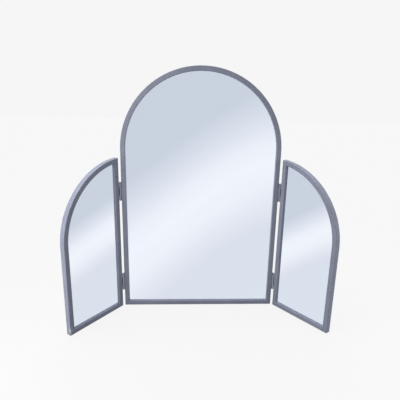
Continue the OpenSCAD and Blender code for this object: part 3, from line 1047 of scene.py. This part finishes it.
# %% The floor
BACKDROP = colour(246, 246, 246)
FLOOR_DARK, FLOOR_LIGHT = (57, 57, 57), (61, 61, 61)
FLOOR_GLOW = 0.865
FLOOR_SIZE = 60


def pale_floor():
    bpy.ops.object.select_all(action="DESELECT")
    bpy.ops.mesh.primitive_plane_add(size=FLOOR_SIZE)
    floor = bpy.context.object
    floor.name = "floor"
    tree = Tree("floor_paper")
    grain = tree.noise(40, detail=3)
    paper = tree.blend(grain, colour(*FLOOR_DARK), colour(*FLOOR_LIGHT))
    tree.feed(tree.shader, "Base Color", paper)
    tree.feed(tree.shader, "Roughness", 0.95)
    tree.feed(tree.shader, "Specular IOR Level", 0.0)
    tree.feed(tree.shader, "Emission Color", (1, 1, 1, 1))
    camera_only = tree.add("ShaderNodeLightPath").outputs["Is Camera Ray"]
    tree.feed(tree.shader, "Emission Strength", tree.math("MULTIPLY", camera_only, FLOOR_GLOW))
    floor.data.materials.append(tree.material)
    floor.visible_glossy = False
    floor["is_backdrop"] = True
    return floor


floor = pale_floor()
print(f"{floor.name}: {FLOOR_SIZE} m square")

# %% [markdown]
# The panes show what stands round the camera, so the studio has to be made as well.
# Mirrored rays see a cool grey room with one long soft band of light, that hangs askew
# and dips below the horizon. The world can hold it: the direction of a ray gives an
# azimuth and a height, the band's height follows a gentle wave round the room, and a
# colour ramp over the distance from the band gives the tones. The band is broad in
# front, where the centre pane looks, and narrow at the sides, where the wings look.

# %% The studio round the mirror
BAND_WAVES = 4
BAND_HEIGHT = (-20.0, 2.1)
BAND_SWING = (9.8, 1.1)
BAND_WIDTH = (0.7, 0.3)
RAMP_LOW, RAMP_HIGH = -20, 25
ROOM_LIGHT = 0.4
STUDIO_TONES = {
    -14: (222, 229, 238),
    -9: (223, 228, 238),
    -5: (233, 236, 245),
    -2: (242, 245, 251),
    2: (245, 249, 255),
    5: (241, 244, 251),
    9: (225, 230, 240),
    14: (206, 213, 225),
}


def studio():
    world = bpy.data.worlds.new("studio")
    bpy.context.scene.world = world
    world.use_nodes = True
    tree = world.node_tree
    tree.nodes.clear()

    def add(kind, outlet, *inputs, **settings):
        node = tree.nodes.new(kind)
        for key, value in settings.items():
            setattr(node, key, value)
        for socket, value in zip(node.inputs, inputs):
            if isinstance(value, bpy.types.NodeSocket):
                tree.links.new(value, socket)
            elif value is not None:
                socket.default_value = value
        return node.outputs[outlet]

    def calc(operation, *inputs):
        return add("ShaderNodeMath", 0, *inputs, operation=operation)

    direction = add("ShaderNodeTexCoord", "Generated")
    parts = tree.nodes.new("ShaderNodeSeparateXYZ")
    tree.links.new(direction, parts.inputs[0])
    x, y, z = parts.outputs
    azimuth = calc("ARCTAN2", x, calc("MULTIPLY", y, -1.0))
    height = calc("DEGREES", calc("ARCSINE", z))
    round_twice = calc("COSINE", calc("MULTIPLY", azimuth, 2.0))

    def front_to_side(pair):
        """A value that swings about the first number, up in front and down at the sides."""
        return calc("MULTIPLY_ADD", round_twice, pair[1], pair[0])

    wave = calc("SINE", calc("MULTIPLY", azimuth, float(BAND_WAVES)))
    middle = calc("MULTIPLY_ADD", wave, front_to_side(BAND_SWING), front_to_side(BAND_HEIGHT))
    level = calc("DIVIDE", calc("SUBTRACT", height, middle), front_to_side(BAND_WIDTH))
    share = calc("DIVIDE", calc("SUBTRACT", level, float(RAMP_LOW)), float(RAMP_HIGH - RAMP_LOW))
    ramp_out = add("ShaderNodeValToRGB", "Color", share)
    ramp = ramp_out.node.color_ramp
    while len(ramp.elements) < len(STUDIO_TONES):
        ramp.elements.new(0.5)
    for element, (degrees, tone) in zip(ramp.elements, STUDIO_TONES.items()):
        element.position = (degrees - RAMP_LOW) / (RAMP_HIGH - RAMP_LOW)
        element.color = colour(*tone)

    rays = tree.nodes.new("ShaderNodeLightPath")
    room = add("ShaderNodeBackground", 0, (1, 1, 1, 1), ROOM_LIGHT)
    mirrored = add("ShaderNodeBackground", 0, ramp_out, 1.0)
    seen = add("ShaderNodeBackground", 0, BACKDROP, 1.0)
    lit = add("ShaderNodeMixShader", 0, rays.outputs["Is Glossy Ray"], room, mirrored)
    final = add("ShaderNodeMixShader", 0, rays.outputs["Is Camera Ray"], lit, seen)
    add("ShaderNodeOutputWorld", slice(0), final)


studio()
print("studio:", len(STUDIO_TONES), "tones across the band")

# %% [markdown]
# A sun lights everything alike, and a soft box nearby lights most what is near it. The
# soft suns give the plain level: from above, from the front, from the front left and,
# for the boards, from behind. One more from the left lights the walls of the lips that
# face it. Three small soft boxes then model the frames. One low on the left brightens
# the outer rim there, one answers low on the right, and one hangs at the arch's left
# shoulder. Only that last one shows in the gloss of the paint.

# %% The lamps
SUNS = {
    "sun_above": ((-0.2, 0.1, 0.97), 2.7, 50),
    "sun_in_front": ((-0.1, -0.9, 0.4), 0.15, 40),
    "sun_front_left": ((-0.6, -0.8, 0.2), 0.25, 30),
    "sun_left": ((-0.87, -0.15, 0.45), 0.8, 20),
    "sun_behind": ((0.2, 0.9, 0.4), 1.5, 60),
}
SOFT_BOXES = {
    "box_left_rim": ((-0.58, -0.50, 0.26), (-0.32, -0.155, 0.18), 0.25, 1.6),
    "box_left_shoulder": ((-0.45, -0.40, 0.80), (-0.15, 0.0, 0.60), 0.25, 1.5),
    "box_low_right": ((0.85, -0.40, 0.35), (0.30, -0.10, 0.20), 0.40, 1.45),
}
SHOWS_IN_GLOSS = "box_left_shoulder"


def hang_lamp(name, kind, strength, at, towards):
    """A lamp that the camera does not see and that shines from the direction `towards`."""
    lamp = bpy.data.lights.new(name, kind)
    lamp.energy = strength
    holder = bpy.data.objects.new(name, lamp)
    holder.location = at
    holder.rotation_euler = Vector(towards).to_track_quat("Z", "Y").to_euler()
    holder.visible_glossy = name == SHOWS_IN_GLOSS
    holder.visible_camera = False
    bpy.context.collection.objects.link(holder)
    return lamp


for name, (towards, strength, softness) in SUNS.items():
    hang_lamp(name, "SUN", strength, (0, 0, 2), towards).angle = math.radians(softness)
for name, (at, aim, width, strength) in SOFT_BOXES.items():
    lamp = hang_lamp(name, "AREA", strength, at, Vector(at) - Vector(aim))
    lamp.shape = "DISK"
    lamp.size = width
print("lamps:", list(SUNS) + list(SOFT_BOXES))

# %% [markdown]
# ## What the panes leave out
#
# In the studio each pane was lit against its own screen, so no pane shows the other
# panels. Turning off each piece's visibility to mirrored rays does that. The bars keep
# theirs, because the glass does double the lip beside it. Their paint stops only the
# rays that start close by and lets through those that come from further away.

# %% Keep the far pieces out of the reflections
BARS = ("bar", "rail", "stile")
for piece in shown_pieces():
    piece.visible_glossy = any(word in piece.name for word in BARS) and not piece.hide_render
